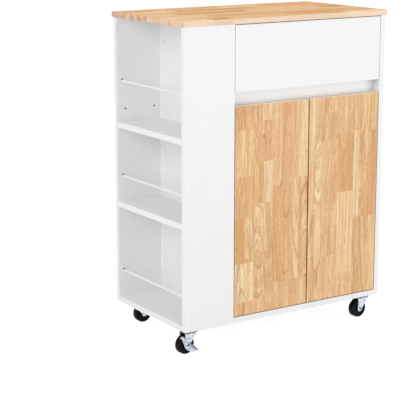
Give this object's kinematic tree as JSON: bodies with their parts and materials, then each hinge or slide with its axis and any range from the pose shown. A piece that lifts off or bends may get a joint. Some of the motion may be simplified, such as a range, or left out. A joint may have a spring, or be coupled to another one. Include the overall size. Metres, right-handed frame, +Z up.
{
  "type": "kitchen cart",
  "caption": "Rolling kitchen cart with a wooden worktop, an inset drawer above two inset wooden doors, and open side bays with guard rails.",
  "frame": {"origin": "on the floor under the middle of the worktop", "axes": "+X to the cart's right as seen from its front, +Y to its back, +Z up"},
  "size_m": [0.656, 0.356, 0.859],
  "materials": {
    "rubberwood": "clear satin lacquer",
    "white_board": "white melamine face, satin",
    "hardboard": "white painted face",
    "white_rod": "white powder coat",
    "white_steel": "white epoxy coat",
    "zinc_steel": "bright zinc plate",
    "nickel_steel": "nickel plate",
    "bearing_steel": "polished",
    "die_cast_zinc": "as cast",
    "white_cap": "moulded",
    "dowel_wood": "raw beech",
    "black_tyre": "satin moulded",
    "nylon": "moulded"
  },
  "bodies": {
    "cabinet": {"bottom_panel": "white_board", "front_panel": "white_board", "rear_panel": "white_board", "divider_panel": "white_board", "right_side_panel": "white_board", "lower_side_shelf": "white_board", "upper_side_shelf": "white_board", "cupboard_shelf": "white_board", "middle_rail": "white_board", "front_stretcher": "white_board", "rear_stretcher": "white_board", "back_board": "hardboard", "worktop": "rubberwood", "guard_rails": "white_rod", "shelf_pins": "zinc_steel", "cam_locks": "die_cast_zinc", "cam_bolts": "zinc_steel", "cam_caps": "white_cap", "dowels": "dowel_wood", "worktop_screws": "zinc_steel", "base_screws": "zinc_steel", "left_cabinet_runner": "white_steel", "right_cabinet_runner": "white_steel", "fitting_screws": "zinc_steel", "hinge_arms": "nickel_steel", "hinge_plates": "nickel_steel", "caster_plates": "zinc_steel", "caster_balls": "bearing_steel", "caster_kingpins": "zinc_steel", "caster_screws": "zinc_steel"},
    "drawer": {"drawer_front": "white_board", "drawer_left_side": "white_board", "drawer_right_side": "white_board", "drawer_back": "white_board", "drawer_bottom": "hardboard", "drawer_screws": "zinc_steel", "left_drawer_runner": "white_steel", "right_drawer_runner": "white_steel"},
    "front_rollers": {"front_runner_rollers": "nylon"},
    "rear_rollers": {"rear_runner_rollers": "nylon"},
    "left_links": {"left_hinge_links": "nickel_steel"},
    "right_links": {"right_hinge_links": "nickel_steel"},
    "left_door": {"left_door": "rubberwood", "left_hinge_cups": "nickel_steel"},
    "right_door": {"right_door": "rubberwood", "right_hinge_cups": "nickel_steel"},
    "front_left_caster": {"front_left_fork": "zinc_steel", "front_left_axle": "zinc_steel"},
    "front_left_wheel": {"front_left_wheel": "black_tyre"},
    "front_left_brake": {"front_left_brake_lever": "zinc_steel"},
    "front_right_caster": {"front_right_fork": "zinc_steel", "front_right_axle": "zinc_steel"},
    "front_right_wheel": {"front_right_wheel": "black_tyre"},
    "rear_left_caster": {"rear_left_fork": "zinc_steel", "rear_left_axle": "zinc_steel"},
    "rear_left_wheel": {"rear_left_wheel": "black_tyre"},
    "rear_right_caster": {"rear_right_fork": "zinc_steel", "rear_right_axle": "zinc_steel"},
    "rear_right_wheel": {"rear_right_wheel": "black_tyre"},
    "rear_right_brake": {"rear_right_brake_lever": "zinc_steel"}
  },
  "joints": [
    {"name": "drawer_slide", "type": "slide", "parent": "cabinet", "child": "drawer", "axis": [0, -1, 0], "range_m": [0, 0.22]},
    {"name": "front_roller_spin", "type": "hinge", "parent": "cabinet", "child": "front_rollers", "pos_m": [0.0675, -0.146, 0.69905], "axis": [1, 0, 0], "range_deg": [0, 1490]},
    {"name": "rear_roller_spin", "type": "hinge", "parent": "drawer", "child": "rear_rollers", "pos_m": [0.0675, 0.113, 0.69455], "axis": [1, 0, 0], "range_deg": [0, 1490]},
    {"name": "left_link_swing", "type": "hinge", "parent": "cabinet", "child": "left_links", "pos_m": [-0.136, -0.1535, 0.35], "axis": [0, 0, 1], "range_deg": [0, 19.2]},
    {"name": "left_door_swing", "type": "hinge", "parent": "left_links", "child": "left_door", "pos_m": [-0.158, -0.1665, 0.35], "axis": [0, 0, -1], "range_deg": [0, 109]},
    {"name": "right_link_swing", "type": "hinge", "parent": "cabinet", "child": "right_links", "pos_m": [0.271, -0.1535, 0.35], "axis": [0, 0, -1], "range_deg": [0, 19.2]},
    {"name": "right_door_swing", "type": "hinge", "parent": "right_links", "child": "right_door", "pos_m": [0.293, -0.1665, 0.35], "axis": [0, 0, 1], "range_deg": [0, 109]},
    {"name": "front_left_swivel", "type": "hinge", "parent": "cabinet", "child": "front_left_caster", "pos_m": [-0.288, -0.145, 0.057], "axis": [0, 0, 1], "continuous": true},
    {"name": "front_left_wheel_spin", "type": "hinge", "parent": "front_left_caster", "child": "front_left_wheel", "pos_m": [-0.3054, -0.14683, 0.025], "axis": [0.1045, -0.9945, 0], "continuous": true},
    {"name": "front_left_brake_press", "type": "hinge", "parent": "front_left_caster", "child": "front_left_brake", "pos_m": [-0.3054, -0.14683, 0.025], "axis": [-0.1045, 0.9945, 0], "range_deg": [-20, 0]},
    {"name": "front_right_swivel", "type": "hinge", "parent": "cabinet", "child": "front_right_caster", "pos_m": [0.288, -0.145, 0.057], "axis": [0, 0, 1], "continuous": true},
    {"name": "front_right_wheel_spin", "type": "hinge", "parent": "front_right_caster", "child": "front_right_wheel", "pos_m": [0.27054, -0.14622, 0.025], "axis": [0.0698, -0.9976, 0], "continuous": true},
    {"name": "rear_left_swivel", "type": "hinge", "parent": "cabinet", "child": "rear_left_caster", "pos_m": [-0.275, 0.145, 0.057], "axis": [0, 0, 1], "continuous": true},
    {"name": "rear_left_wheel_spin", "type": "hinge", "parent": "rear_left_caster", "child": "rear_left_wheel", "pos_m": [-0.2575, 0.1453, 0.025], "axis": [-0.0175, 0.9998, 0], "continuous": true},
    {"name": "rear_right_swivel", "type": "hinge", "parent": "cabinet", "child": "rear_right_caster", "pos_m": [0.275, 0.145, 0.057], "axis": [0, 0, 1], "continuous": true},
    {"name": "rear_right_wheel_spin", "type": "hinge", "parent": "rear_right_caster", "child": "rear_right_wheel", "pos_m": [0.2924, 0.14317, 0.025], "axis": [0.1045, 0.9945, 0], "continuous": true},
    {"name": "rear_right_brake_press", "type": "hinge", "parent": "rear_right_caster", "child": "rear_right_brake", "pos_m": [0.2924, 0.14317, 0.025], "axis": [-0.1045, -0.9945, 0], "range_deg": [-20, 0]}
  ],
  "couplings": [
    {"joint": "front_roller_spin", "follows": "drawer_slide", "rad_per_m": 117.65},
    {"joint": "rear_roller_spin", "follows": "drawer_slide", "rad_per_m": 117.65},
    {"joint": "left_link_swing", "follows": "left_door_swing", "ratio": 0.17391},
    {"joint": "right_link_swing", "follows": "right_door_swing", "ratio": 0.17391}
  ]
}
